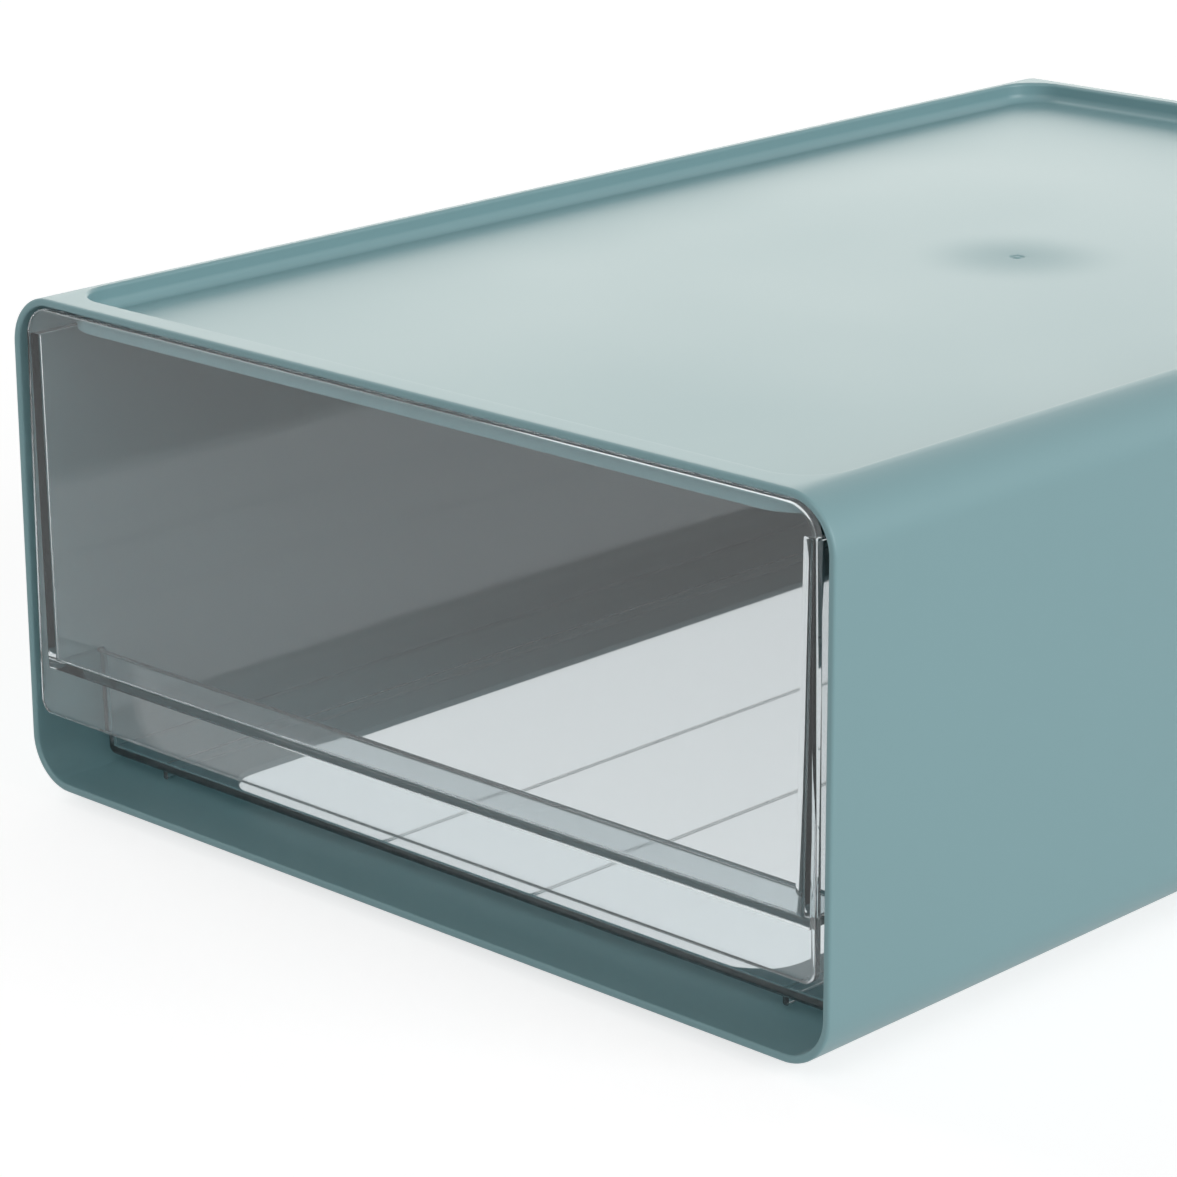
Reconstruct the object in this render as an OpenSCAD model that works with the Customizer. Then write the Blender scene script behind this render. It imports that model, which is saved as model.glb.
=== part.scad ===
// Stackable drawer box for craft supplies: a one-piece moulded shell that is open at the
// front, and a one-piece clear drawer that slides in it.
// Millimetres. +Z is up and the open front faces -Y. The origin is at the middle of the
// footprint, on the surface that the foot ring stands on.

/* [Shell] */
// Outer width of the shell
shell_w = 245; // [200:1:300]
// Outer depth of the shell, front to back
shell_d = 364; // [260:1:420]
// Outer height of the shell, without its foot ring
shell_h = 118; // [95:1:160]
// Thickness of every shell wall
shell_wall = 1.8; // [1.5:0.1:2.4]
// Radius of the four long outer edges
shell_edge_r = 12; // [9:0.5:14]
// Radius of the edges round the closed back
back_edge_r = 4; // [3:0.5:6]
// Rounding of the wall's edge all round the mouth
mouth_round = 0.7; // [0.3:0.1:0.7]

/* [Stacking recess] */
// Depth of the recess in the top
recess_depth = 5.4; // [4:0.1:7]
// Width of the rim in front of the recess
front_rim = 6.8; // [5.5:0.1:10]
// Width of the rim behind the recess
back_rim = 7; // [6:0.1:12]
// Width of the rounded rim at each side of the recess
side_rim = 12; // [12:0.5:16]
// Radius of the recess's corners, seen from above
recess_corner_r = 11; // [8:0.5:16]
// Radius where the recess's floor turns up into its walls
recess_fillet = 2.6; // [1:0.1:3.5]
// Rounding of the recess's top edge
crest_round = 0.9; // [0.4:0.1:1.2]
// Diameter of the gate mark in the recess's floor
gate_d = 2.2; // [1.5:0.1:4]
// Distance from the front to the gate mark
gate_y = 199; // [100:1:240]
// Distance from the middle to the gate mark
gate_x = 9.4; // [0:0.1:20]

/* [Floor opening and foot ring] */
// Width of the opening in the shell's floor
opening_w = 170; // [120:1:180]
// Depth of the floor in front of the opening
opening_front = 25; // [20:1:40]
// Depth of the floor behind the opening
opening_back = 40; // [20:1:60]
// Radius of the opening's corners
opening_corner_r = 14; // [6:1:24]
// Height of the foot ring under the shell
foot_h = 3; // [2:0.1:3.8]
// Thickness of the foot ring
foot_wall = 2; // [1.5:0.1:4]
// Play of the foot ring in the recess of a box below
stack_gap = 1.5; // [0.5:0.1:3]

/* [Drawer] */
// Thickness of the drawer's walls, floor and ledge
drawer_wall = 2; // [1.6:0.1:2.5]
// Thickness of the front panel
panel_t = 2.2; // [1.8:0.1:3]
// Gap between the panel's side edges and the shell, at the top
panel_side_gap = 2.9; // [1.6:0.1:3.4]
// Gap between the lip's side edges and the shell, at the bottom of the panel
lip_side_gap = 2; // [1:0.1:3]
// Gap between the panel's top edge and the shell's front rim
panel_top_gap = 0.5; // [0.4:0.1:1]
// Rounding of the panel's edges
panel_round = 0.8; // [0.4:0.1:0.8]
// Radius of the panel's two lower corners
lip_corner_r = 3.4; // [2:0.2:6]
// How far the drawer's sides stand in from the panel's side edges, at the top
side_set_in = 0.25; // [0.2:0.05:1]
// Gap between the drawer's top edge and the roof above it
roof_gap = 1.8; // [1:0.1:4]
// Gap between the closed drawer and the shell's back
stop_gap = 0.6; // [0.5:0.1:3]
// Draft angle of the drawer's walls
draft = 0.8; // [0.5:0.1:1.5]
// Radius of the drawer's upright corners
tray_corner_r = 4.5; // [4.2:0.1:10]
// Radius round the drawer's floor
tray_floor_r = 4; // [2.6:0.1:4.2]

/* [Finger grip] */
// Height of the slot between the shell's floor and the panel
slot_h = 16.2; // [12:0.1:24]
// Height of the pocket behind the panel's lip
pocket_h = 11.3; // [8:0.1:20]
// Depth of the pocket, from the lip to the set-back wall
pocket_d = 12.8; // [12.8:0.1:20]

/* [Runners] */
// Height of the two runners under the drawer
runner_h = 2.4; // [1.8:0.1:4]
// Width of a runner
runner_w = 1.6; // [1.2:0.1:3]
// Distance from the middle to each runner
runner_x = 96; // [92:1:98]
// Running gap between the runners and the shell's floor
runner_gap = 0.3; // [0.1:0.05:0.6]
// Distance from the middle to each stiffening rib under the drawer's floor
rib_x = 22; // [10:1:60]
// Height of a stiffening rib
rib_h = 0.9; // [0.5:0.1:1.2]
// Width of a stiffening rib
rib_w = 1.3; // [1:0.1:3]

/* [Hidden] */

$fn = 64;
// Facets of the pegs that a hull is drawn round
HULL_FN = 32;
// Thickness of the plate that a hull starts from
PLATE = 1;
// Length by which a cut runs past the face that it opens
PAST = 1;
// Angles at which a rounded edge is drawn
TURN = [0, 30, 60, 90];
// Depth of the gate mark
GATE_DEPTH = 0.35;

SHELL_COLOUR = [0.62, 0.735, 0.73];
DRAWER_COLOUR = [0.86, 0.91, 0.93, 0.45];

// Shell: where its faces lie
front_y = -shell_d / 2;
back_y = shell_d / 2;
base_z = foot_h;
top_z = base_z + shell_h;
floor_z = base_z + shell_wall;
recess_z = top_z - recess_depth;
roof_z = recess_z - shell_wall;
rim_z = top_z - shell_wall;
inner_x = shell_w / 2 - shell_wall;
recess_x = shell_w / 2 - side_rim;

// Drawer: where its faces lie
panel_x = inner_x - panel_side_gap;
lip_x = inner_x - lip_side_gap;
panel_top_z = rim_z - panel_top_gap;
panel_top_r = shell_edge_r - shell_wall - panel_side_gap;
panel_back_y = front_y + panel_t;
lip_z = floor_z + slot_h;
ledge_z = lip_z + pocket_h;
tray_z = floor_z + runner_gap + runner_h;
tray_top_z = roof_z - roof_gap;
tray_back_y = back_y - shell_wall - stop_gap;
setback_y = panel_back_y + pocket_d;
tray_inner_r = max(tray_corner_r - drawer_wall, 1);
tray_inner_floor_r = max(tray_floor_r - drawer_wall, 0.8);

// What the drafted walls have lost in width at a height z
function drafted(z) = (panel_top_z - z) * tan(draft);
function tray_half(z) = panel_x - side_set_in - drafted(z);
function tray_back(z) = tray_back_y - drafted(z);
function setback(z) = setback_y + (ledge_z - z) * tan(draft);

// Rounded rectangle, symmetric in X
module rounded_plan(half_x, y0, y1, r) {
    translate([-half_x + r, y0])
        square([2 * (half_x - r), y1 - y0]);
    translate([-half_x, y0 + r])
        square([2 * half_x, y1 - y0 - 2 * r]);
    for (x = [-half_x + r, half_x - r], y = [y0 + r, y1 - r])
        translate([x, y])
            circle(r);
}

// Half-profile of a round peg of length h, whose radius is r at its start and grows with
// the draft angle, with its two end edges rounded
function peg_profile(r, h, round0, round1, taper = 0) =
    let (r_end = r + h * tan(taper))
    concat(
        [[0, 0]],
        round0 > 0 ? [for (a = TURN) [r - round0 * (1 - sin(a)), round0 * (1 - cos(a))]] : [[r, 0]],
        round1 > 0 ? [for (a = TURN) [r_end - round1 * (1 - cos(a)), h - round1 * (1 - sin(a))]]
                   : [[r_end, h]],
        [[0, h]]);

// The peg itself: a hull round four of them is a rounded block
module peg(r, h, round0 = 0, round1 = 0, taper = 0) {
    rotate_extrude($fn = HULL_FN)
        polygon(peg_profile(r, h, round0, round1, taper));
}

// Bar with the shell's cross-section, drawn in by inset, with its end edges rounded
module shell_bar(inset, y0, y1, round_front, round_back) {
    hull()
        for (x = [-1, 1], z = [base_z + shell_edge_r, top_z - shell_edge_r])
            translate([x * (shell_w / 2 - shell_edge_r), y0, z])
                rotate([-90, 0, 0])
                    peg(shell_edge_r - inset, y1 - y0, round_front, round_back);
}

// The hollow that the drawer slides in
module shell_hollow() {
    shell_bar(shell_wall, front_y - PAST, back_y - shell_wall, 0, back_edge_r - shell_wall);
}

// Outline of the stacking recess from above, grown by a distance
module recess_plan(grow) {
    rounded_plan(recess_x + grow, front_y + front_rim - grow, back_y - back_rim + grow,
                 recess_corner_r + grow);
}

// Block with the recess's outline from z0 up to z1, with a rounded floor edge and walls
// that lean out by taper
module recess_block(z0, z1, floor_r, taper) {
    hull()
        for (x = [-1, 1], y = [front_y + front_rim + recess_corner_r, back_y - back_rim - recess_corner_r])
            translate([x * (recess_x - recess_corner_r), y, z0])
                peg(recess_corner_r, z1 - z0, floor_r, 0, taper);
}

// The recess itself, with a filleted floor and an eased top edge
module recess_cut() {
    recess_block(recess_z, top_z - crest_round, recess_fillet, 0);
    recess_block(top_z - crest_round, top_z + PAST, 0, 45);
}

// The step that the recess makes in the hollow's roof
module roof_step() {
    translate([0, 0, roof_z])
        linear_extrude(recess_depth + shell_wall)
            recess_plan(shell_wall);
}

// Opening in the floor that saves material and lets dust fall through
module floor_opening() {
    translate([0, 0, base_z - PAST])
        linear_extrude(shell_wall + 2 * PAST)
            rounded_plan(opening_w / 2, front_y + opening_front, back_y - opening_back,
                         opening_corner_r);
}

// Ring under the floor that drops into the recess of a box below
module foot_ring() {
    linear_extrude(foot_h + shell_wall / 2)
        difference() {
            recess_plan(-stack_gap);
            recess_plan(-stack_gap - foot_wall);
        }
}

module gate_mark() {
    translate([gate_x, front_y + gate_y, recess_z - GATE_DEPTH])
        cylinder(d = gate_d, h = GATE_DEPTH + PAST);
}

module shell() {
    color(SHELL_COLOUR)
        difference() {
            union() {
                shell_bar(0, front_y, back_y, mouth_round, back_edge_r);
                foot_ring();
            }
            difference() {
                shell_hollow();
                roof_step();
            }
            recess_cut();
            floor_opening();
            gate_mark();
        }
}

// Drafted block from z0 up to z1 with a rounded floor edge: the drawer below its ledge,
// drawn in from its outer faces by inset
module lower_block(inset, z0, z1, r, floor_r) {
    half_x = tray_half(z0) - inset;
    hull()
        for (x = [-1, 1], y = [setback(z0) + inset + r, tray_back(z0) - inset - r])
            translate([x * (half_x - r), y, z0])
                peg(r, z1 - z0, floor_r, 0, draft);
}

// Drafted block from z0 up to z1 behind the plane y0: the drawer above its ledge
module upper_block(inset, y0, z0, z1, r) {
    half_0 = tray_half(z0) - inset;
    half_1 = tray_half(z1) - inset;
    hull() {
        translate([0, y0 + PLATE, 0])
            rotate([90, 0, 0])
                linear_extrude(PLATE)
                    polygon([[-half_0, z0], [half_0, z0], [half_1, z1], [-half_1, z1]]);
        for (x = [-1, 1])
            translate([x * (half_0 - r), tray_back(z0) - inset - r, z0])
                peg(r, z1 - z0, 0, 0, draft);
    }
}

// Front panel, which runs down past the ledge as a lip to pull on
module front_panel() {
    hull()
        for (x = [-1, 1]) {
            translate([x * (panel_x - panel_top_r), front_y, panel_top_z - panel_top_r])
                rotate([-90, 0, 0])
                    peg(panel_top_r, panel_t, panel_round, panel_round);
            translate([x * (lip_x - lip_corner_r), front_y, lip_z + lip_corner_r])
                rotate([-90, 0, 0])
                    peg(lip_corner_r, panel_t, panel_round, panel_round);
        }
}

// Straight bar under the drawer's floor with round ends
module floor_bar(x, w, h) {
    y0 = setback(tray_z) + tray_floor_r;
    y1 = tray_back(tray_z) - tray_floor_r;
    translate([x, 0, tray_z - h])
        linear_extrude(h + drawer_wall / 2)
            rounded_plan(w / 2, y0, y1, w / 2 - 0.01);
}

module drawer() {
    color(DRAWER_COLOUR)
        union() {
            difference() {
                union() {
                    front_panel();
                    upper_block(0, panel_back_y - PLATE, ledge_z, tray_top_z, tray_corner_r);
                    lower_block(0, tray_z, ledge_z + drawer_wall / 2, tray_corner_r, tray_floor_r);
                }
                upper_block(drawer_wall, panel_back_y, ledge_z + drawer_wall, panel_top_z + PAST,
                            tray_inner_r);
                lower_block(drawer_wall, tray_z + drawer_wall, ledge_z + drawer_wall + PAST,
                            tray_inner_r, tray_inner_floor_r);
            }
            for (x = [-1, 1]) {
                floor_bar(x * runner_x, runner_w, runner_h);
                floor_bar(x * rib_x, rib_w, rib_h);
            }
        }
}

shell();
drawer();
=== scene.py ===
"""Stackable drawer box: satin teal shell and clear drawer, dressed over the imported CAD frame.

Two mouldings stand for the two CAD nodes. Their sizes are in millimetres and are turned into
metres when a mesh is made. Places in the materials and in the studio are in metres. X is
centred, Y runs from the open front (-182) to the back (+182), and Z is up from the surface
that the foot ring stands on.
"""

import logging
from dataclasses import dataclass, field
from enum import Enum, IntEnum
from typing import Sequence

import bmesh
import bpy
import numpy as np
from mathutils import Matrix, Vector

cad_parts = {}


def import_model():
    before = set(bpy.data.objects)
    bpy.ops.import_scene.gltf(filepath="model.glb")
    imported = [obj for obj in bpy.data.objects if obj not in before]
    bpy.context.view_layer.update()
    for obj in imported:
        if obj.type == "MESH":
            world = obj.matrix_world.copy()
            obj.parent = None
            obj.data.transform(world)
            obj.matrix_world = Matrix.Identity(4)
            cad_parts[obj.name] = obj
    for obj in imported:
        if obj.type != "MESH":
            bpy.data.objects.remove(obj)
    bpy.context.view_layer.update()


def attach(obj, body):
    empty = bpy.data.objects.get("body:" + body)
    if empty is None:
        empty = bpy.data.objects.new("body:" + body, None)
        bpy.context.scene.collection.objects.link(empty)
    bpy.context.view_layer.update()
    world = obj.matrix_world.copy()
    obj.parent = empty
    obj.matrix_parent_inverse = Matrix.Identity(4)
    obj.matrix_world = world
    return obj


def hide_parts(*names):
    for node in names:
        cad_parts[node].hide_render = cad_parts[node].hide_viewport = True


MM = 0.001
FRONT_Y = -182.0
BACK_Y = 182.0
WHITE = (1.0, 1.0, 1.0, 1.0)

Array = np.ndarray
Pair = tuple[float, float]
Triple = tuple[float, float, float]

log = logging.getLogger("drawer_box")


class Shading(Enum):
    """How many degrees two faces may turn and still blend, by the piece's finish."""

    SATIN = 40.0
    CLEAR = 32.0


class Arc(IntEnum):
    """Number of parts that an arc is drawn with, by how much it shows."""

    EDGE = 3
    RIM = 4
    FILLET = 5
    BEND = 8
    CORNER = 12


class MeshDraft:
    """Grids and caps of points that become one closed mesh."""

    def __init__(self, name: str) -> None:
        """Starts an empty draft.

        Args:
            name: name of the object to be made.
        """
        self.name = name
        self.points: list[Array] = []
        self.faces: list[Array] = []
        self.caps: list[Array] = []
        self.count = 0

    def _take(self, points: Array) -> int:
        """Adds points to the draft.

        Args:
            points: (n, 3) array in millimetres.

        Returns:
            The index of the first of them.
        """
        first = self.count
        self.points.append(points)
        self.count += len(points)
        return first

    def grid(self, rows: Sequence[Array], wrap: bool = False) -> None:
        """Covers a grid of points with quads: row i and row i + 1 are joined node by node.

        Args:
            rows: rings or lines of equally many points.
            wrap: whether each row closes on itself.
        """
        block = np.stack(rows)
        high, wide = block.shape[:2]
        first = self._take(block.reshape(-1, 3))
        columns = np.arange(wide if wrap else wide - 1)
        after = (columns + 1) % wide
        row = np.arange(high - 1)[:, None] * wide
        quads = np.stack([row + columns, row + after, row + wide + after, row + wide + columns], -1)
        self.faces.append(first + quads.reshape(-1, 4))

    def cap(self, ring: Array) -> None:
        """Closes a flat ring of points with one face.

        Args:
            ring: (n, 3) array of points that lie in one plane.
        """
        first = self._take(ring)
        self.caps.append(first + np.arange(len(ring)))

    def build(self) -> bpy.types.Object:
        """Merges points that coincide and makes the object.

        Faces that have shrunk to a line are dropped, and all of them are turned outwards.

        Returns:
            The new object, at the origin, in metres.
        """
        points = np.round(np.concatenate(self.points) * MM, 8)
        unique, index = np.unique(points, axis=0, return_inverse=True)
        index = index.reshape(-1)
        quads = index[np.concatenate(self.faces)]
        same = quads == np.roll(quads, -1, axis=1)
        whole = quads[~same.any(axis=1)]
        thinned = [face[~gap] for face, gap in zip(quads, same) if 0 < gap.sum() < 2]
        thinned = [face for face in thinned if len(set(face)) > 2]
        whole = whole[(whole[:, 0] != whole[:, 2]) & (whole[:, 1] != whole[:, 3])]
        rings = [index[cap] for cap in self.caps]
        rings = [ring[ring != np.roll(ring, 1)] for ring in rings]
        faces = [face.tolist() for face in [*whole, *thinned, *rings]]
        mesh = bpy.data.meshes.new(self.name)
        mesh.from_pydata(unique.tolist(), [], faces)
        mesh.validate()
        turn_outwards(mesh)
        made = bpy.data.objects.new(self.name, mesh)
        bpy.context.scene.collection.objects.link(made)
        return made


def turn_outwards(mesh: bpy.types.Mesh) -> None:
    """Turns the faces of a closed mesh outwards.

    Args:
        mesh: the mesh to change.
    """
    work = bmesh.new()
    work.from_mesh(mesh)
    bmesh.ops.recalc_face_normals(work, faces=work.faces)
    work.to_mesh(mesh)
    work.free()


def smooth(piece: bpy.types.Object, shading: Shading, weight: int = 100) -> None:
    """Shades a piece smooth, apart from edges sharper than the shading's angle.

    A Weighted Normal modifier leans each normal on the larger faces, so that flats stay flat
    right up to their rounded edges.

    Args:
        piece: the object to shade.
        shading: gives the angle.
        weight: how strongly the larger faces pull.
    """
    piece.data.shade_smooth()
    piece.data.set_sharp_from_angle(angle=np.radians(shading.value))
    flats = piece.modifiers.new("flats", "WEIGHTED_NORMAL")
    flats.keep_sharp = True
    flats.weight = weight


def right_angle(arc: Arc) -> Array:
    """Angles from 0 to 90 degrees, in radians, that part a quarter turn evenly."""
    return np.linspace(0, np.pi / 2, arc + 1)


def quarter(radius: float, arc: Arc) -> tuple[Array, Array]:
    """Quarter circle from a wall (0, 0) to a floor: how far in, and how far along.

    In = r (1 - cos a), along = r sin a, for a from 0 to 90 degrees.

    Args:
        radius: its radius.
        arc: gives the number of parts.

    Returns:
        The two arrays, with one number more than there are parts.
    """
    turn = right_angle(arc)
    return radius * (1 - np.cos(turn)), radius * np.sin(turn)


@dataclass
class PlanRing:
    """A closed ring of points, rectangular in plan, with equally many points at any size.

    Each side has `middle` points on its straight part and `corner` points on half of the arc
    at each end, so rings of different sizes and radii join up quad by quad.
    """

    corner: int = 6
    middle_x: int = 6
    middle_y: int = 8

    def side(self, low: float, high: float, r0: float, r1: float, middle: int) -> tuple[Array, Array]:
        """Points along one side, from the middle of one corner's arc to that of the next.

        On an arc of radius r, a point at angle t from the side's own direction lies
        r (1 - sin t) inside the end and r (1 - cos t) below the side's line.

        Args:
            low: where the side's line starts.
            high: where it ends.
            r0: radius of the corner at low.
            r1: radius of the corner at high.
            middle: number of points on the straight part.

        Returns:
            Places along the side and how far each lies inside its line.
        """
        turn = np.linspace(np.pi / 4, 0, self.corner + 1)
        run, fall = 1 - np.sin(turn), 1 - np.cos(turn)
        straight = np.linspace(low + r0, high - r1, middle + 2)[1:-1]
        along = np.concatenate([low + r0 * run, straight, (high - r1 * run)[::-1]])
        inside = np.concatenate([r0 * fall, straight * 0, (r1 * fall)[::-1]])
        return along, inside

    def ring(self, half_x: float, y0: float, y1: float, r_front: float, r_back: float, z: float) -> Array:
        """The ring itself, counted from the front left corner, seen from above anticlockwise.

        Args:
            half_x: half its width.
            y0: its front.
            y1: its back.
            r_front: radius of its two front corners.
            r_back: radius of its two back corners.
            z: its height.

        Returns:
            (n, 3) array of points.
        """
        fx, fi = self.side(-half_x, half_x, r_front, r_front, self.middle_x)
        sy, si = self.side(y0, y1, r_front, r_back, self.middle_y)
        bx, bi = self.side(-half_x, half_x, r_back, r_back, self.middle_x)
        front = np.stack([fx, y0 + fi], 1)
        right = np.stack([half_x - si, sy], 1)
        back = np.stack([bx, y1 - bi], 1)[::-1]
        left = np.stack([-half_x + si, sy], 1)[::-1]
        plan = np.concatenate([front[:-1], right[:-1], back[:-1], left[:-1]])
        return np.column_stack([plan, np.full(len(plan), z)])


@dataclass
class Shell:
    """The box itself: one satin moulding, open at the front, with a recess for stacking.

    The gate dish gives (radius, rise) for each of its rings, from its outer edge inwards.
    """

    half_x: float = 122.5
    top_z: float = 121.0
    base_z: float = 3.0
    wall: float = 1.8
    edge_r: float = 12.0
    back_r: float = 4.0
    mouth_r: float = 0.7
    recess_depth: float = 5.4
    recess_half_x: float = 110.5
    recess_y: Pair = (-175.2, 175.0)
    recess_r: float = 11.0
    crest_r: float = 0.9
    fillet_r: float = 2.6
    fillet_run: float = 4.0
    opening_half_x: float = 85.0
    opening_y: Pair = (-158.0, 142.0)
    opening_r: float = 14.0
    foot_gap: float = 1.5
    foot_wall: float = 2.0
    edge_ease: float = 0.4
    gate: Pair = (9.4, 17.0)
    gate_dish: tuple[Pair, ...] = (
        (14.0, 0.0), (7.0, -0.01), (3.4, -0.04), (2.0, -0.07), (1.85, -0.16), (1.65, -0.3),
        (1.2, -0.32), (0.9, -0.2), (0.7, -0.04), (0.35, 0.0),
    )
    strip_angle: float = 15.0
    end_steps: tuple[float, ...] = (0.0, 1.0, 2.2, 4.0, 6.5, 10.0, 15.0)
    rim_steps: Triple = (3.5, 7.5, 11.5)
    blend_shares: Triple = (0.25, 0.5, 0.75)
    flank_nodes: int = 16
    wall_nodes: int = 4
    layout: PlanRing = field(default_factory=PlanRing)

    @property
    def bend_x(self) -> float:
        """Where the top's flat part ends and the long edges' arcs start."""
        return self.half_x - self.edge_r

    @property
    def stations_y(self) -> Array:
        """Places along Y of the nodes of the side strips, from mouth rounding to back rounding."""
        steps = np.array(self.end_steps)
        front = FRONT_Y + self.mouth_r + steps
        back = BACK_Y - self.back_r - steps[::-1]
        middle = np.linspace(front[-1], back[0], self.layout.middle_y + 2)[1:-1]
        return np.concatenate([front, middle, back])

    def height(self, x: Array, inset: float, up: bool) -> Array:
        """Height of the top or bottom skin over x: flat, then the long edge's arc.

        The arc is z = centre + sqrt((r - inset)^2 - (|x| - bend)^2).

        Args:
            x: places across the box.
            inset: 0 for the outer skin, the wall's thickness for the inner one.
            up: the top skin if true, else the bottom one.

        Returns:
            The heights.
        """
        past = np.maximum(np.abs(x) - self.bend_x, 0)
        radius = self.edge_r - inset
        rise = np.sqrt(np.maximum(radius**2 - past**2, 0))
        if up:
            return self.top_z - self.edge_r + rise
        return self.base_z + self.edge_r - rise

    def across(self, inset: float, up: bool) -> Array:
        """(x, z) nodes along the top or bottom, from left to right, out to the side strips.

        Args:
            inset: distance inside the outer skin.
            up: the top if true.

        Returns:
            (n, 2) array.
        """
        bend = np.radians(np.linspace(self.strip_angle, 0, Arc.EDGE + 1))
        arc = self.bend_x + (self.edge_r - inset) * np.sin(bend)
        inner = self.bend_x - np.array(self.rim_steps)
        middle = np.linspace(-inner[-1], inner[-1], self.layout.middle_x + 2)[1:-1]
        x = np.concatenate([-arc, -inner, middle, inner[::-1], arc[::-1]])
        return np.column_stack([x, self.height(x, inset, up)])

    def flank(self, inset: float) -> Array:
        """(x, z) nodes down the right side, from the end of the top to the end of the bottom.

        Args:
            inset: distance inside the outer skin.

        Returns:
            (n, 2) array.
        """
        turn = np.radians(np.linspace(self.strip_angle, 90, self.flank_nodes))
        radius = self.edge_r - inset
        x = self.bend_x + radius * np.sin(turn)
        over, under = self.top_z - self.edge_r, self.base_z + self.edge_r
        top = np.column_stack([x, over + radius * np.cos(turn)])
        straight = np.linspace(over, under, self.wall_nodes + 2)[1:-1]
        middle = np.column_stack([np.full(self.wall_nodes, self.half_x - inset), straight])
        bottom = np.column_stack([x, under - radius * np.cos(turn)])[::-1]
        return np.concatenate([top, middle, bottom])

    def outline(self, inset: float, y: float) -> Array:
        """The whole cross-section as a closed ring at one place along Y.

        Args:
            inset: distance inside the outer skin.
            y: the place.

        Returns:
            (n, 3) array.
        """
        right = self.flank(inset)
        left = right[::-1] * np.array([-1, 1])
        ring = np.concatenate(
            [self.across(inset, True)[:-1], right[:-1], self.across(inset, False)[::-1][:-1], left[:-1]]
        )
        return np.column_stack([ring[:, 0], np.full(len(ring), y), ring[:, 1]])

    def frame_ring(self, inset: float, up: bool) -> Array:
        """The rectangle that joins the top or bottom to the strips around it.

        Args:
            inset: 0 for the outer skin, the wall's thickness for the inner one.
            up: the top if true.

        Returns:
            (n, 3) array in the same order as a PlanRing.
        """
        line = self.across(inset, up)
        ys = self.stations_y
        front = np.column_stack([line[:, 0], np.full(len(line), ys[0]), line[:, 1]])
        back = np.column_stack([line[:, 0], np.full(len(line), ys[-1]), line[:, 1]])[::-1]
        right = np.column_stack([np.full(len(ys), line[-1, 0]), ys, np.full(len(ys), line[-1, 1])])
        left = (right * np.array([-1, 1, 1]))[::-1]
        return np.concatenate([front[:-1], right[:-1], back[:-1], left[:-1]])

    def between(self, outer: Array, inner: Array, inset: float, up: bool) -> list[Array]:
        """Rings from one ring to another, laid on the top or bottom skin.

        Args:
            outer: the first ring.
            inner: the last ring.
            inset: 0 for the outer skin, the wall's thickness for the inner one.
            up: the top if true.

        Returns:
            Three rings between the two, with their heights taken from the skin.
        """
        rings = []
        for share in self.blend_shares:
            ring = outer * (1 - share) + inner * share
            ring[:, 2] = self.height(ring[:, 0], inset, up)
            rings.append(ring)
        return rings

    def recess_ring(self, grow: float, z: float) -> Array:
        """The recess's outline grown by a distance, at a height.

        Args:
            grow: how far it is grown.
            z: the height.

        Returns:
            (n, 3) array.
        """
        y0, y1 = self.recess_y
        radius = self.recess_r + grow
        return self.layout.ring(self.recess_half_x + grow, y0 - grow, y1 + grow, radius, radius, z)

    def lay_sides(self, draft: MeshDraft) -> None:
        """Side strips, outer and inner: the flank's nodes carried along Y.

        Args:
            draft: the mesh to add to.
        """
        for inset in (0.0, self.wall):
            for side in (1, -1):
                line = self.flank(inset)
                rows = [
                    np.column_stack([side * line[:, 0], np.full(len(line), y), line[:, 1]])
                    for y in self.stations_y
                ]
                draft.grid(rows)

    def lay_mouth(self, draft: MeshDraft) -> None:
        """The wall's edge round the mouth: a quarter turn, a narrow flat, a quarter turn.

        Args:
            draft: the mesh to add to.
        """
        inward, along = quarter(self.mouth_r, Arc.RIM)
        out = [(i, FRONT_Y + self.mouth_r - a) for i, a in zip(inward, along)]
        rest = [(self.wall - inset, y) for inset, y in out[::-1]]
        draft.grid([self.outline(inset, y) for inset, y in out + rest], wrap=True)

    def lay_back(self, draft: MeshDraft) -> None:
        """The closed back: rounding and flat, outside and inside.

        Args:
            draft: the mesh to add to.
        """
        for inset, face in ((0.0, BACK_Y), (self.wall, BACK_Y - self.wall)):
            inward, along = quarter(self.back_r - inset, Arc.BEND)
            start = face - (self.back_r - inset)
            rings = [self.outline(inset + i, start + a) for i, a in zip(inward, along)]
            draft.grid(rings, wrap=True)
            draft.cap(rings[-1])

    def lay_top(self, draft: MeshDraft) -> None:
        """Rim, crest, wall, fillet and floor of the stacking recess, down to the gate mark.

        Args:
            draft: the mesh to add to.
        """
        outer = self.frame_ring(0.0, True)
        crest = self.recess_ring(self.crest_r, 0)
        crest[:, 2] = self.height(crest[:, 0], 0.0, True)
        rings = [outer, *self.between(outer, crest, 0.0, True), crest]
        for turn in right_angle(Arc.FILLET)[1:]:
            grow = self.crest_r * (1 - np.sin(turn))
            ring = self.recess_ring(grow, 0)
            ring[:, 2] = self.height(ring[:, 0], 0.0, True) - self.crest_r * (1 - np.cos(turn))
            rings.append(ring)
        floor = self.top_z - self.recess_depth
        inward, along = quarter(self.fillet_r, Arc.BEND)
        rings += [self.recess_ring(-i, floor + self.fillet_r - a) for i, a in zip(inward, along)]
        rings.append(self.recess_ring(-self.fillet_r - self.fillet_run, floor))
        centre = np.array(self.gate)
        angle = np.arctan2(*(rings[-1][:, :2] - centre).T[::-1])
        around = np.column_stack([np.cos(angle), np.sin(angle)])
        for radius, rise in self.gate_dish:
            spot = centre + radius * around
            rings.append(np.column_stack([spot, np.full(len(spot), floor + rise)]))
        draft.grid(rings, wrap=True)
        draft.cap(rings[-1])

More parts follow.
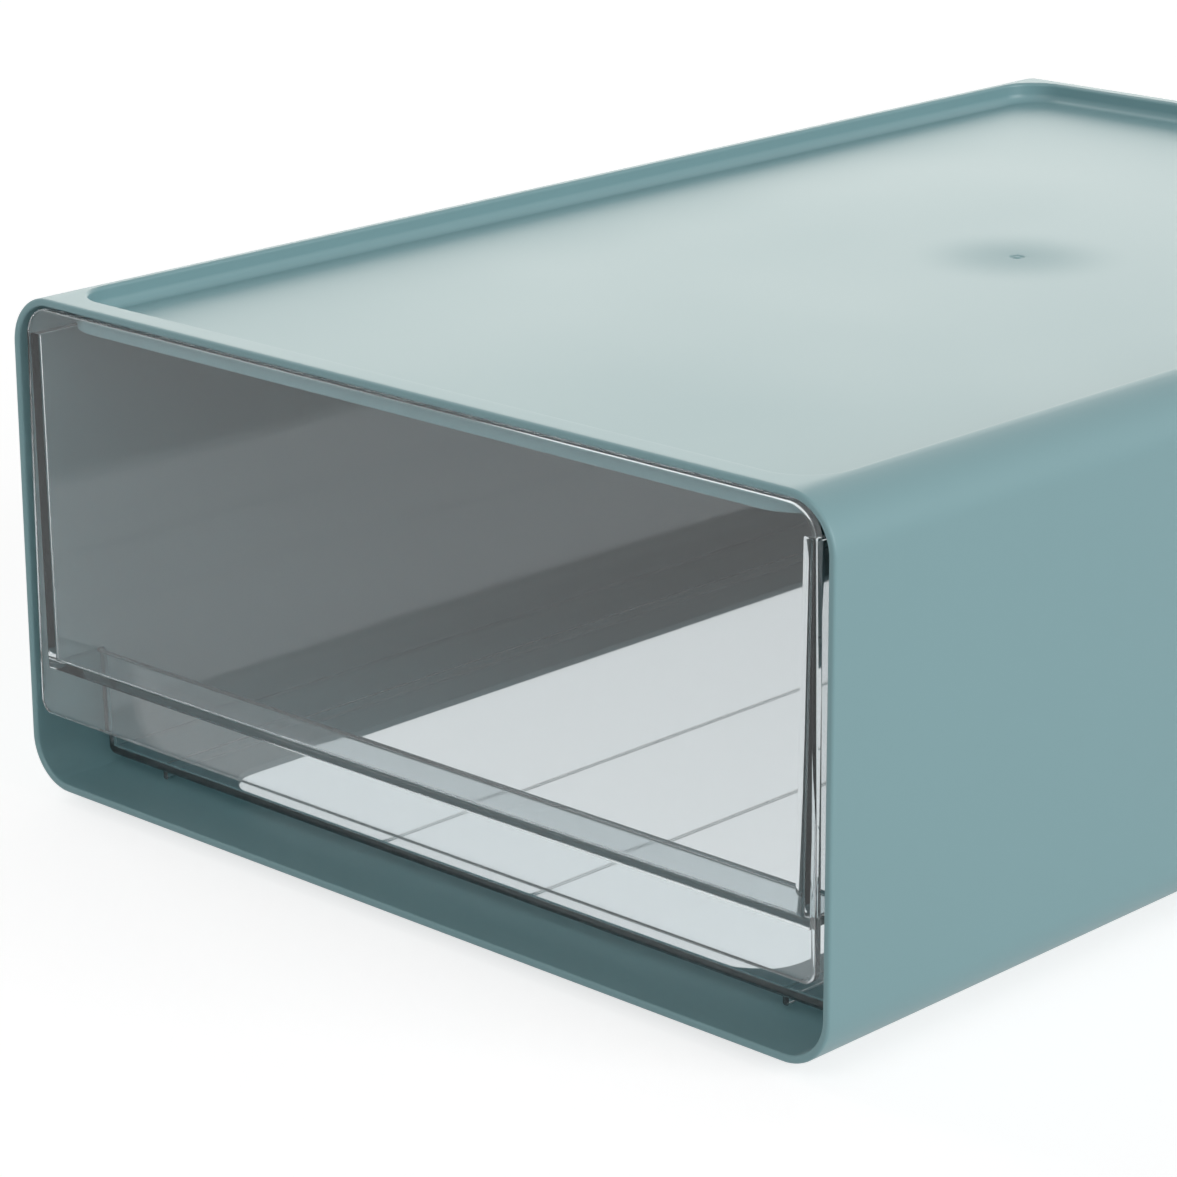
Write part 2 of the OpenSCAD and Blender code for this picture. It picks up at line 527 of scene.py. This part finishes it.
    def lay_roof(self, draft: MeshDraft) -> None:
        """The hollow's roof, with the step that the recess makes in it.

        Args:
            draft: the mesh to add to.
        """
        outer = self.frame_ring(self.wall, True)
        ease = self.edge_ease
        first = self.recess_ring(self.wall + ease, 0)
        first[:, 2] = self.height(first[:, 0], self.wall, True)
        rings = [outer, *self.between(outer, first, self.wall, True), first]
        inward, along = quarter(ease, Arc.EDGE)
        for i, a in zip(inward[::-1][1:], (ease - along)[::-1][1:]):
            ring = self.recess_ring(self.wall + i, 0)
            ring[:, 2] = self.height(ring[:, 0], self.wall, True) - a
            rings.append(ring)
        roof = self.top_z - self.recess_depth - self.wall
        rings += [self.recess_ring(self.wall - i, roof + ease - a) for i, a in zip(inward, along)]
        draft.grid(rings, wrap=True)
        draft.cap(rings[-1])

    def lay_bottom(self, draft: MeshDraft) -> None:
        """Underside, foot ring, floor opening and inner floor as one run of rings.

        Args:
            draft: the mesh to add to.
        """
        ease = self.edge_ease
        base, floor = self.base_z, self.base_z + self.wall
        outer = self.frame_ring(0.0, False)
        start = self.recess_ring(-self.foot_gap + ease, base)
        inward, along = quarter(ease, Arc.EDGE)
        rings = [outer, *self.between(outer, start, 0.0, False), start]
        rings += [
            self.recess_ring(-self.foot_gap + i, base - ease + a)
            for i, a in zip(inward[::-1][1:], along[::-1][1:])
        ]
        rings += [self.recess_ring(-self.foot_gap - i, ease - a) for i, a in zip(inward, along)]
        inside = -self.foot_gap - self.foot_wall
        rings += [self.recess_ring(inside + i, ease - a) for i, a in zip(inward[::-1], along[::-1])]
        rings += [self.recess_ring(inside - i, base - ease + a) for i, a in zip(inward, along)]
        y0, y1 = self.opening_y
        edge = [(ease - a, base + i) for i, a in zip(inward, along)]
        edge += [(ease - a, floor - i) for i, a in zip(inward[::-1], along[::-1])]
        for grow, z in edge:
            half, radius = self.opening_half_x + grow, self.opening_r + grow
            rings.append(self.layout.ring(half, y0 - grow, y1 + grow, radius, radius, z))
        inner = self.frame_ring(self.wall, False)
        rings += [*self.between(rings[-1], inner, self.wall, False), inner]
        draft.grid(rings, wrap=True)

    def build(self) -> bpy.types.Object:
        """Makes the shell's mesh from its patches.

        Returns:
            The finished object.
        """
        draft = MeshDraft("shell_moulding")
        self.lay_sides(draft)
        self.lay_mouth(draft)
        self.lay_back(draft)
        self.lay_top(draft)
        self.lay_roof(draft)
        self.lay_bottom(draft)
        made = draft.build()
        smooth(made, Shading.SATIN)
        return made


@dataclass
class Drawer:
    """The clear drawer: panel with lip, ledge, set-back wall, tray and runners in one moulding.

    The panel's corners are given as (x, z, radius), and each bar as (x, width, height).
    """

    panel_y: Pair = (-182.0, -179.8)
    panel_top: Triple = (110.5, 111.4, 7.3)
    panel_foot: Triple = (115.3, 24.4, 3.4)
    panel_ease: float = 0.8
    panel_back_ease: float = 0.6
    panel_bite: float = 1.0
    draft_slope: float = 0.013964
    draft_z: float = 118.7
    half_x: float = 117.55
    back_y: float = 179.6
    setback_y: float = -167.0
    ledge_z: float = 32.3
    wall: float = 2.0
    tray_z: Pair = (7.5, 112.0)
    corner_r: float = 4.5
    floor_r: float = 2.0
    inner_corner_r: float = 2.5
    inner_floor_r: float = 0.8
    pocket_r: float = 0.8
    ledge_r: float = 2.4
    panel_fillet_r: float = 1.0
    junction_r: float = 1.8
    rim_r: float = 0.5
    bars: tuple[Triple, ...] = ((96.0, 1.6, 2.4), (23.0, 1.0, 0.5))
    bar_ease: float = 0.8
    bar_round: float = 0.98
    cut_past: float = 1.0
    layout: PlanRing = field(default_factory=PlanRing)

    def outline(self, inset: float, y: float) -> Array:
        """The panel's outline at a place along Y: a taut band round four round corners.

        A point with the normal n at angle t lies at c + (r - inset) n, where c and r are
        the centre and radius of the corner that t belongs to.

        Args:
            inset: distance inside the outline.
            y: the place.

        Returns:
            (n, 3) array.
        """
        (tx, tz, tr), (fx, fz, fr) = self.panel_top, self.panel_foot
        lean = np.arcsin((fr - tr) / np.hypot(tx - fx, tz - fz)) + np.arctan2(fx - tx, tz - fz)
        upper = np.linspace(lean, np.pi / 2, Arc.CORNER + 1)
        lower = np.linspace(-np.pi / 2, lean, Arc.CORNER + 1)
        x = np.concatenate([fx + (fr - inset) * np.cos(lower), tx + (tr - inset) * np.cos(upper)])
        z = np.concatenate([fz + (fr - inset) * np.sin(lower), tz + (tr - inset) * np.sin(upper)])
        x, z = np.concatenate([x, -x[::-1]]), np.concatenate([z, z[::-1]])
        return np.column_stack([x, np.full(len(x), y), z])

    def panel(self) -> bpy.types.Object:
        """The front plate with its rounded edges.

        Returns:
            A closed solid.
        """
        y0, y1 = self.panel_y
        turn = right_angle(Arc.FILLET)
        run, fall = 1 - np.sin(turn), 1 - np.cos(turn)
        front = zip(self.panel_ease * run, y0 + self.panel_ease * fall)
        back = zip(self.panel_back_ease * fall[::2], y1 - self.panel_back_ease * run[::2])
        rings = [self.outline(inset, y) for inset, y in [*front, *back]]
        return self.closed("panel", rings)

    def drafted(self, z: float) -> float:
        """How far the drafted walls have come in at a height."""
        return (self.draft_z - z) * self.draft_slope

    def lower_ring(
        self, z: float, inset: float, radius: float, pull: float = 0.0, forward: float = 0.0
    ) -> Array:
        """Ring of the tray below its ledge, at a height.

        Args:
            z: the height.
            inset: 0 for the outer skin, the wall's thickness for the inner one.
            radius: radius of its corners.
            pull: how far the ring is drawn in further, as on the floor's rounding.
            forward: how far the set-back wall has bent forward, towards the ledge.

        Returns:
            (n, 3) array.
        """
        lost = self.drafted(z)
        front = self.setback_y + (self.ledge_z - z) * self.draft_slope - forward
        grow = inset + pull
        back, half, size = self.back_y - lost - grow, self.half_x - lost - grow, radius - pull
        return self.layout.ring(half, front + grow, back, size, size, z)

    def upper_ring(
        self, z: float, inset: float, radius: float, forward: float, front: float, ease: float
    ) -> Array:
        """Ring of the tray above its ledge.

        Behind the set-back wall's corners its points lie right over those of lower_ring, so a
        flat strip joins the two.

        Args:
            z: the height.
            inset: 0 for the outer skin, the wall's thickness for the inner one.
            radius: radius of its back corners.
            forward: as for the lower ring that it joins.
            front: where its front lies.
            ease: radius of its front corners.

        Returns:
            (n, 3) array.
        """
        ring = self.lower_ring(z, inset, radius, forward=forward)
        lay = self.layout
        wide = 2 * lay.corner + lay.middle_x + 2
        half = self.half_x - self.drafted(z) - inset
        x, drop = lay.side(-half, half, ease, ease, lay.middle_x)
        ring[: wide - 1, 0] = x[:-1]
        ring[: wide - 1, 1] = front + drop[:-1]
        start = self.setback_y + (self.ledge_z - z) * self.draft_slope - forward + inset + radius
        arc_steps = lay.corner - 2
        turn = np.linspace(np.pi / 4, 0, arc_steps + 1)
        line = np.linspace(front + ease, start, lay.corner - arc_steps + 1)[1:]
        y = np.concatenate([front + ease * (1 - np.sin(turn)), line])
        drop = np.concatenate([ease * (1 - np.cos(turn)), line * 0])
        right = np.arange(wide - 1, wide + lay.corner)
        left = -np.arange(0, lay.corner + 1) % len(ring)
        ring[right, 0], ring[right, 1] = half - drop, y
        ring[left, 0], ring[left, 1] = -half + drop, y
        return ring

    def outer_body(self) -> bpy.types.Object:
        """The tray's outer form: floor rounding, set-back wall bent into the ledge, walls, rim.

        Returns:
            A closed solid.
        """
        floor, top = self.tray_z
        inward, along = quarter(self.floor_r, Arc.BEND)
        rings = [
            self.lower_ring(floor + self.floor_r - a, 0.0, self.corner_r, pull=i)
            for i, a in zip(inward[::-1], along[::-1])
        ]
        bend = self.pocket_r
        inward, along = quarter(bend, Arc.RIM)
        rings += [
            self.lower_ring(self.ledge_z - bend + a, 0.0, self.corner_r, forward=i)
            for i, a in zip(inward, along)
        ]
        front = self.panel_y[1] - self.panel_bite
        inward, along = quarter(self.rim_r, Arc.RIM)
        rings.append(self.upper_ring(self.ledge_z, 0.0, self.corner_r, bend, front, 0.0))
        rings += [
            self.upper_ring(top - self.rim_r + a, i, self.corner_r - i, bend, front, 0.0)
            for i, a in zip(inward, along)
        ]
        return self.closed("drawer_moulding", rings)

    def hollow(self) -> bpy.types.Object:
        """The hollow in the tray, with the fillets that its corners leave in the moulding.

        Returns:
            A closed solid, which reaches past the rim.
        """
        wall, radius = self.wall, self.inner_corner_r
        floor, ledge, top = self.tray_z[0] + wall, self.ledge_z + wall, self.tray_z[1]
        inward, along = quarter(self.inner_floor_r, Arc.BEND)
        rings = [
            self.lower_ring(floor + self.inner_floor_r - a, wall, radius, pull=i)
            for i, a in zip(inward[::-1], along[::-1])
        ]
        bend = self.ledge_r
        inward, along = quarter(bend, Arc.BEND)
        rings += [
            self.lower_ring(ledge - bend + a, wall, radius, forward=i)
            for i, a in zip(inward, along)
        ]
        ease = self.panel_fillet_r
        inward, along = quarter(ease, Arc.FILLET)
        face = self.panel_y[1]
        rings += [
            self.upper_ring(ledge + i, wall, radius, bend, face + ease - a, self.junction_r - ease + a)
            for i, a in zip(inward, along)
        ]
        inward, along = quarter(self.rim_r, Arc.RIM)
        rim = [(i, top - self.rim_r + a) for i, a in zip(inward, along)]
        rim.append((self.rim_r, top + self.cut_past))
        rings += [
            self.upper_ring(z, wall - i, radius + i, bend, face, self.junction_r) for i, z in rim
        ]
        return self.closed("hollow", rings)

    def closed(self, name: str, rings: list[Array]) -> bpy.types.Object:
        """Skins a stack of rings and closes both its ends.

        Args:
            name: name of the solid.
            rings: the rings, from one end to the other.

        Returns:
            A closed solid.
        """
        draft = MeshDraft(name)
        draft.grid(rings, wrap=True)
        draft.cap(rings[0])
        draft.cap(rings[-1])
        return draft.build()

    def bar(self, x: float, width: float, height: float) -> bpy.types.Object:
        """A runner or rib under the floor: a long round-ended bar with an eased lower edge.

        Args:
            x: its middle.
            width: its width.
            height: how far it stands out of the floor.

        Returns:
            A closed solid.
        """
        y0 = self.setback_y + (self.ledge_z - self.tray_z[0]) * self.draft_slope + self.floor_r
        y1 = self.back_y - self.drafted(self.tray_z[0]) - self.floor_r
        lay = PlanRing(corner=3, middle_x=0, middle_y=4)
        half = width / 2
        ease = self.bar_ease * min(half, height)
        inward, along = quarter(ease, Arc.EDGE)
        low = self.tray_z[0] - height
        levels = [(i, low + ease - a) for i, a in zip(inward[::-1], along[::-1])]
        levels += [(0.0, self.tray_z[0] + self.wall / 2)]
        rings = []
        for pull, z in levels:
            size = half - pull
            radius = size * self.bar_round
            ring = lay.ring(size, y0 + pull, y1 - pull, radius, radius, z)
            rings.append(ring + np.array([x, 0, 0]))
        return self.closed("bar", rings)

    def build(self) -> bpy.types.Object:
        """Joins the panel, tray and bars, and takes the hollow out.

        Returns:
            The finished object.
        """
        made = self.outer_body()
        joins = [self.panel()]
        joins += [self.bar(side * x, w, h) for x, w, h in self.bars for side in (-1, 1)]
        for other in joins:
            combine(made, other, "UNION")
        combine(made, self.hollow(), "DIFFERENCE")
        smooth(made, Shading.CLEAR)
        return made


def combine(target: bpy.types.Object, other: bpy.types.Object, operation: str) -> None:
    """Joins a solid to another or cuts it out, and removes it.

    Args:
        target: the solid that is changed.
        other: the solid that is used up.
        operation: UNION or DIFFERENCE.
    """
    step = target.modifiers.new("step", "BOOLEAN")
    step.operation = operation
    step.solver = "EXACT"
    step.object = other
    graph = bpy.context.evaluated_depsgraph_get()
    result = bpy.data.meshes.new_from_object(target.evaluated_get(graph))
    target.modifiers.clear()
    target.data = result
    bpy.data.objects.remove(other)


class Wiring:
    """Short calls for a material's node tree."""

    def __init__(self, name: str) -> None:
        """Starts an empty material.

        Args:
            name: the material's name.
        """
        self.material = bpy.data.materials.new(name)
        self.material.use_nodes = True
        self.tree = self.material.node_tree
        self.tree.nodes.clear()

    def node(self, kind: str, **inputs: object) -> bpy.types.Node:
        """Adds a node and sets its unlinked inputs.

        Args:
            kind: the node's type name.
            inputs: values by input name, with _ for a space.

        Returns:
            The node.
        """
        made = self.tree.nodes.new(kind)
        for key, value in inputs.items():
            made.inputs[key.replace("_", " ")].default_value = value
        return made

    def link(self, source: bpy.types.NodeSocket, target: bpy.types.NodeSocket) -> None:
        """Joins two sockets."""
        self.tree.links.new(source, target)

    def math(
        self, operation: str, first: bpy.types.NodeSocket, second: bpy.types.NodeSocket | float
    ) -> bpy.types.NodeSocket:
        """Works one number out of two.

        Args:
            operation: the Math node's name for it.
            first: the first number's socket.
            second: the second number, or its socket.

        Returns:
            The result's socket.
        """
        made = self.tree.nodes.new("ShaderNodeMath")
        made.operation = operation
        self.link(first, made.inputs[0])
        if isinstance(second, float):
            made.inputs[1].default_value = second
        else:
            self.link(second, made.inputs[1])
        return made.outputs[0]

    def spread(
        self, source: bpy.types.NodeSocket, low: float, high: float, start: float = 0.0, end: float = 1.0
    ) -> bpy.types.Node:
        """Maps a number that runs from start to end onto low to high.

        Args:
            source: the number's socket.
            low: what start becomes.
            high: what end becomes.
            start: the least number.
            end: the greatest number.

        Returns:
            The Map Range node.
        """
        made = self.node(
            "ShaderNodeMapRange", From_Min=start, From_Max=end, To_Min=low, To_Max=high
        )
        self.link(source, made.inputs["Value"])
        return made

    def noise(
        self, place: bpy.types.NodeSocket, scale: float, detail: float, roughness: float = 0.5
    ) -> bpy.types.NodeSocket:
        """Adds a noise texture.

        Args:
            place: socket of the coordinates that it reads.
            scale: cells per metre.
            detail: number of finer layers.
            roughness: how strongly those show.

        Returns:
            Its Fac socket.
        """
        made = self.node("ShaderNodeTexNoise", Scale=scale, Detail=detail, Roughness=roughness)
        self.link(place, made.inputs["Vector"])
        return made.outputs["Fac"]

    def finish(self, shader: bpy.types.NodeSocket) -> bpy.types.Material:
        """Puts a shader on the surface.

        Args:
            shader: the shader's socket.

        Returns:
            The finished material.
        """
        out = self.node("ShaderNodeOutputMaterial")
        self.link(shader, out.inputs["Surface"])
        return self.material


@dataclass(frozen=True)
class SatinPlastic:
    """Satin teal moulding with a fine, even grain from the tool."""

    colour: Triple = (0.235, 0.405, 0.432)
    roughness: float = 0.36
    unevenness: float = 0.04
    mottle: float = 0.03
    clouds: float = 9.0
    grain: float = 900.0
    grain_height: float = 0.025
    grain_strength: float = 0.25
    ior: float = 1.5
    gate: Triple = (0.0094, 0.017, 0.1156)
    blush: Pair = (0.0, 0.028)
    blush_rise: float = 0.12

    def material(self, name: str) -> bpy.types.Material:
        """Builds the node tree, all in object space.

        A fine noise is the grain's bump. A slow one shifts roughness and colour a little.
        Round the gate mark the skin is duller: roughness rises smoothly from the outer to
        the inner radius of the blush, by distance from the gate.

        Args:
            name: the material's name.

        Returns:
            The material.
        """
        wire = Wiring(name)
        place = wire.node("ShaderNodeTexCoord").outputs["Object"]
        fine = wire.noise(place, self.grain, detail=3.0, roughness=0.6)
        slow = wire.noise(place, self.clouds, detail=2.0)
        even = wire.spread(slow, self.roughness - self.unevenness, self.roughness + self.unevenness)
        away = wire.tree.nodes.new("ShaderNodeVectorMath")
        away.operation = "DISTANCE"
        wire.link(place, away.inputs[0])
        away.inputs[1].default_value = self.gate
        blush = wire.spread(away.outputs["Value"], self.blush_rise, 0.0, *self.blush)
        blush.interpolation_type = "SMOOTHSTEP"
        rough = wire.math("ADD", even.outputs["Result"], blush.outputs["Result"])
        tone = wire.spread(slow, 1 - self.mottle, 1 + self.mottle)
        tint = wire.tree.nodes.new("ShaderNodeVectorMath")
        tint.operation = "SCALE"
        tint.inputs[0].default_value = self.colour
        wire.link(tone.outputs["Result"], tint.inputs["Scale"])
        bump = wire.node(
            "ShaderNodeBump", Strength=self.grain_strength, Distance=self.grain_height * MM
        )
        wire.link(fine, bump.inputs["Height"])
        skin = wire.node("ShaderNodeBsdfPrincipled", IOR=self.ior)
        wire.link(tint.outputs["Vector"], skin.inputs["Base Color"])
        wire.link(rough, skin.inputs["Roughness"])
        wire.link(bump.outputs["Normal"], skin.inputs["Normal"])
        return wire.finish(skin.outputs["BSDF"])


@dataclass(frozen=True)
class ClearPlastic:
    """Clear moulding with a faint flow waviness and side walls that bow a little."""

    colour: Triple = (0.935, 0.969, 0.98)
    roughness: float = 0.02
    ior: float = 1.5
    clarity: float = 0.982
    flow: float = 0.02
    flow_scale: float = 14.0
    bow: float = 0.7
    bow_scale: Triple = (4.0, 3.0, 20.0)
    shade: Triple = (0.82, 0.87, 0.88)

    def material(self, name: str) -> bpy.types.Material:
        """Builds the node tree: clear shader, and tinted see-through for shadow rays.

        Height of the bump, in millimetres = flow x noise + bow x stretched noise x |n_x|, so
        that only walls that face sideways are bowed. Clarity a little under 1 leaves a trace
        of haze, which keeps light from being lost inside the thin walls.

        Args:
            name: the material's name.

        Returns:
            The material.
        """
        wire = Wiring(name)
        place = wire.node("ShaderNodeTexCoord")
        flow = wire.noise(place.outputs["Object"], self.flow_scale, detail=1.0)
        drawn = wire.node("ShaderNodeMapping", Scale=self.bow_scale)
        wire.link(place.outputs["Object"], drawn.inputs["Vector"])
        bow = wire.noise(drawn.outputs["Vector"], scale=1.0, detail=1.0)
        facing = wire.node("ShaderNodeSeparateXYZ")
        wire.link(place.outputs["Normal"], facing.inputs["Vector"])
        sideways = wire.math("ABSOLUTE", facing.outputs["X"], 0.0)
        bowed = wire.math("MULTIPLY", wire.math("MULTIPLY", bow, sideways), self.bow)
        height = wire.math("ADD", bowed, wire.math("MULTIPLY", flow, self.flow))
        bump = wire.node("ShaderNodeBump", Strength=1.0, Distance=MM)
        wire.link(height, bump.inputs["Height"])
        body = wire.node(
            "ShaderNodeBsdfPrincipled",
            Base_Color=(*self.colour, 1.0),
            Roughness=self.roughness,
            IOR=self.ior,
            Transmission_Weight=self.clarity,
        )
        wire.link(bump.outputs["Normal"], body.inputs["Normal"])
        through = wire.node("ShaderNodeBsdfTransparent", Color=(*self.shade, 1.0))
        ray = wire.node("ShaderNodeLightPath")
        mix = wire.node("ShaderNodeMixShader")
        wire.link(ray.outputs["Is Shadow Ray"], mix.inputs[0])
        wire.link(body.outputs["BSDF"], mix.inputs[1])
        wire.link(through.outputs["BSDF"], mix.inputs[2])
        return wire.finish(mix.outputs["Shader"])


@dataclass(frozen=True)
class SoftBox:
    """A rectangular lamp that points at the middle of the object."""

    name: str
    place: Triple
    size: Pair
    power: float
    tint: Triple = (1.0, 1.0, 1.0)
    aim: Triple = (0.0, 0.0, 0.06)

    def build(self) -> None:
        """Hangs the lamp up. The camera doesn't see it."""
        data = bpy.data.lights.new(self.name, "AREA")
        data.shape = "RECTANGLE"
        data.size, data.size_y = self.size
        data.energy = self.power
        data.color = self.tint
        lamp = bpy.data.objects.new(self.name, data)
        lamp.location = self.place
        lamp.visible_camera = False
        ahead = Vector(self.aim) - Vector(self.place)
        lamp.rotation_euler = ahead.to_track_quat("-Z", "Y").to_euler()
        bpy.context.scene.collection.objects.link(lamp)


@dataclass(frozen=True)
class PaleFloor:
    """White paper that takes light and shadow and shows white to the eye.

    What is seen straight, mirrored or through the clear drawer has a plain white glow. Light
    that the object has scattered, and that then passes the drawer, sees paper in the shade,
    so that the white background doesn't light the inside of the box.
    """

    paper: float = 0.5
    paper_bounce: float = 0.95
    seen: float = 0.72
    through: float = 1.0
    through_scattered: float = 0.4

    def glow(self, wire: Wiring, ray: bpy.types.Node) -> bpy.types.NodeSocket:
        """How strongly the floor glows for each kind of ray.

        Args:
            wire: the material's node tree.
            ray: its Light Path node.

        Returns:
            The strength's socket.
        """
        eye = wire.math("MAXIMUM", ray.outputs["Is Camera Ray"], ray.outputs["Is Glossy Ray"])
        seen = wire.math("MULTIPLY", eye, self.seen)
        level = wire.spread(ray.outputs["Diffuse Depth"], self.through, self.through_scattered)
        strength = wire.spread(ray.outputs["Is Transmission Ray"], low=0.0, high=1.0)
        wire.link(seen, strength.inputs["To Min"])
        wire.link(level.outputs["Result"], strength.inputs["To Max"])
        return strength.outputs["Result"]

    def material(self, name: str) -> bpy.types.Material:
        """Builds the node tree: paper, lit for the camera and for diffuse rays, and a glow.

        Args:
            name: the material's name.

        Returns:
            The material.
        """
        wire = Wiring(name)
        ray = wire.node("ShaderNodeLightPath")
        lit = wire.math("MULTIPLY", ray.outputs["Is Camera Ray"], self.paper)
        bounced = wire.math("MULTIPLY", ray.outputs["Is Diffuse Ray"], self.paper_bounce)
        paper = wire.node("ShaderNodeBsdfDiffuse")
        wire.link(wire.math("ADD", lit, bounced), paper.inputs["Color"])
        white = wire.node("ShaderNodeEmission", Color=WHITE)
        wire.link(self.glow(wire, ray), white.inputs["Strength"])
        add = wire.node("ShaderNodeAddShader")
        wire.link(paper.outputs["BSDF"], add.inputs[0])
        wire.link(white.outputs["Emission"], add.inputs[1])
        return wire.finish(add.outputs["Shader"])


@dataclass(frozen=True)
class Studio:
    """Pale floor, soft lights and the camera at the photograph's angle."""

    camera_place: Triple = (0.5955, -0.7404, 0.3376)
    yaw: float = 43.89
    pitch: float = 17.74
    roll: float = -0.29
    lens: float = 124.88
    sensor: float = 36.0
    clip: Pair = (0.01, 200.0)
    floor_half: float = 40.0
    fill: float = 0.25
    backdrop: float = 1.0
    bounces: int = 32
    lamps: tuple[SoftBox, ...] = (
        SoftBox("backdrop", (-1.75, 1.85, 0.85), (2.4, 1.1), 13.5, (1.0, 1.0, 0.93)),
        SoftBox("right", (2.2, 0.35, 0.9), (1.2, 1.2), 24.5),
        SoftBox("front", (0.5, -1.7, 1.4), (1.2, 1.2), 8.0),
        SoftBox("key", (-1.3, -0.1, 1.45), (0.7, 0.5), 4.0),
    )

    def camera(self) -> None:
        """Puts up the camera. Its axes are worked out from yaw, pitch and roll."""
        yaw, pitch, roll = np.radians([self.yaw, self.pitch, self.roll])
        level = np.array([-np.sin(yaw), np.cos(yaw), 0.0])
        ahead = level * np.cos(pitch) - np.array([0.0, 0.0, np.sin(pitch)])
        right = np.array([np.cos(yaw), np.sin(yaw), 0.0])
        up = np.cross(right, ahead)
        right, up = np.cos(roll) * right + np.sin(roll) * up, np.cos(roll) * up - np.sin(roll) * right
        data = bpy.data.cameras.new("camera")
        data.sensor_width = self.sensor
        data.sensor_fit = "HORIZONTAL"
        data.lens = self.lens
        data.clip_start, data.clip_end = self.clip
        cam = bpy.data.objects.new("camera", data)
        matrix = np.eye(4)
        matrix[:3] = np.column_stack([right, up, -ahead, self.camera_place])
        cam.matrix_world = Matrix(matrix.tolist())
        bpy.context.scene.collection.objects.link(cam)
        bpy.context.scene.camera = cam

    def floor(self) -> None:
        half = self.floor_half
        mesh = bpy.data.meshes.new("floor")
        corners = [(-half, -half, 0.0), (half, -half, 0.0), (half, half, 0.0), (-half, half, 0.0)]
        mesh.from_pydata(corners, [], [(0, 1, 2, 3)])
        mesh.materials.append(PaleFloor().material("floor_white"))
        floor = bpy.data.objects.new("floor", mesh)
        bpy.context.scene.collection.objects.link(floor)

    def world(self) -> None:
        """White all round to the eye, and a softer fill for diffuse light."""
        world = bpy.data.worlds.new("studio")
        bpy.context.scene.world = world
        world.use_nodes = True
        tree = world.node_tree
        tree.nodes.clear()
        ray = tree.nodes.new("ShaderNodeLightPath")
        mix = tree.nodes.new("ShaderNodeMixShader")
        tree.links.new(ray.outputs["Is Diffuse Ray"], mix.inputs[0])
        for socket, strength in ((1, self.backdrop), (2, self.fill)):
            glow = tree.nodes.new("ShaderNodeBackground")
            glow.inputs["Color"].default_value = WHITE
            glow.inputs["Strength"].default_value = strength
            tree.links.new(glow.outputs[0], mix.inputs[socket])
        out = tree.nodes.new("ShaderNodeOutputWorld")
        tree.links.new(mix.outputs[0], out.inputs[0])

    def build(self) -> None:
        """Sets the whole studio up."""
        self.camera()
        self.floor()
        self.world()
        for lamp in self.lamps:
            lamp.build()
        scene = bpy.context.scene
        scene.view_settings.view_transform = "Standard"
        scene.cycles.max_bounces = self.bounces
        scene.cycles.glossy_bounces = self.bounces
        scene.cycles.transmission_bounces = self.bounces


def dress(
    piece: bpy.types.Object, material: bpy.types.Material, body: str, node: str
) -> None:
    """Gives a piece its finish and its body, and hides the CAD node it stands for.

    Args:
        piece: the piece.
        material: its finish.
        body: the CAD body it rides on.
        node: the CAD node it replaces.
    """
    piece.data.materials.clear()
    piece.data.materials.append(material)
    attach(piece, body)
    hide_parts(node)
    log.info("%s: %d faces, rides on %s", piece.name, len(piece.data.polygons), body)


def main() -> None:
    """Builds the studio and the two mouldings."""
    logging.basicConfig(level=logging.INFO, format="%(name)s: %(message)s")
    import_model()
    Studio().build()
    satin = SatinPlastic().material("satin_teal")
    clear = ClearPlastic().material("clear_polished")
    dress(Shell().build(), satin, "shell", "shell")
    dress(Drawer().build(), clear, "drawer", "drawer")


if __name__ == "__main__":
    main()
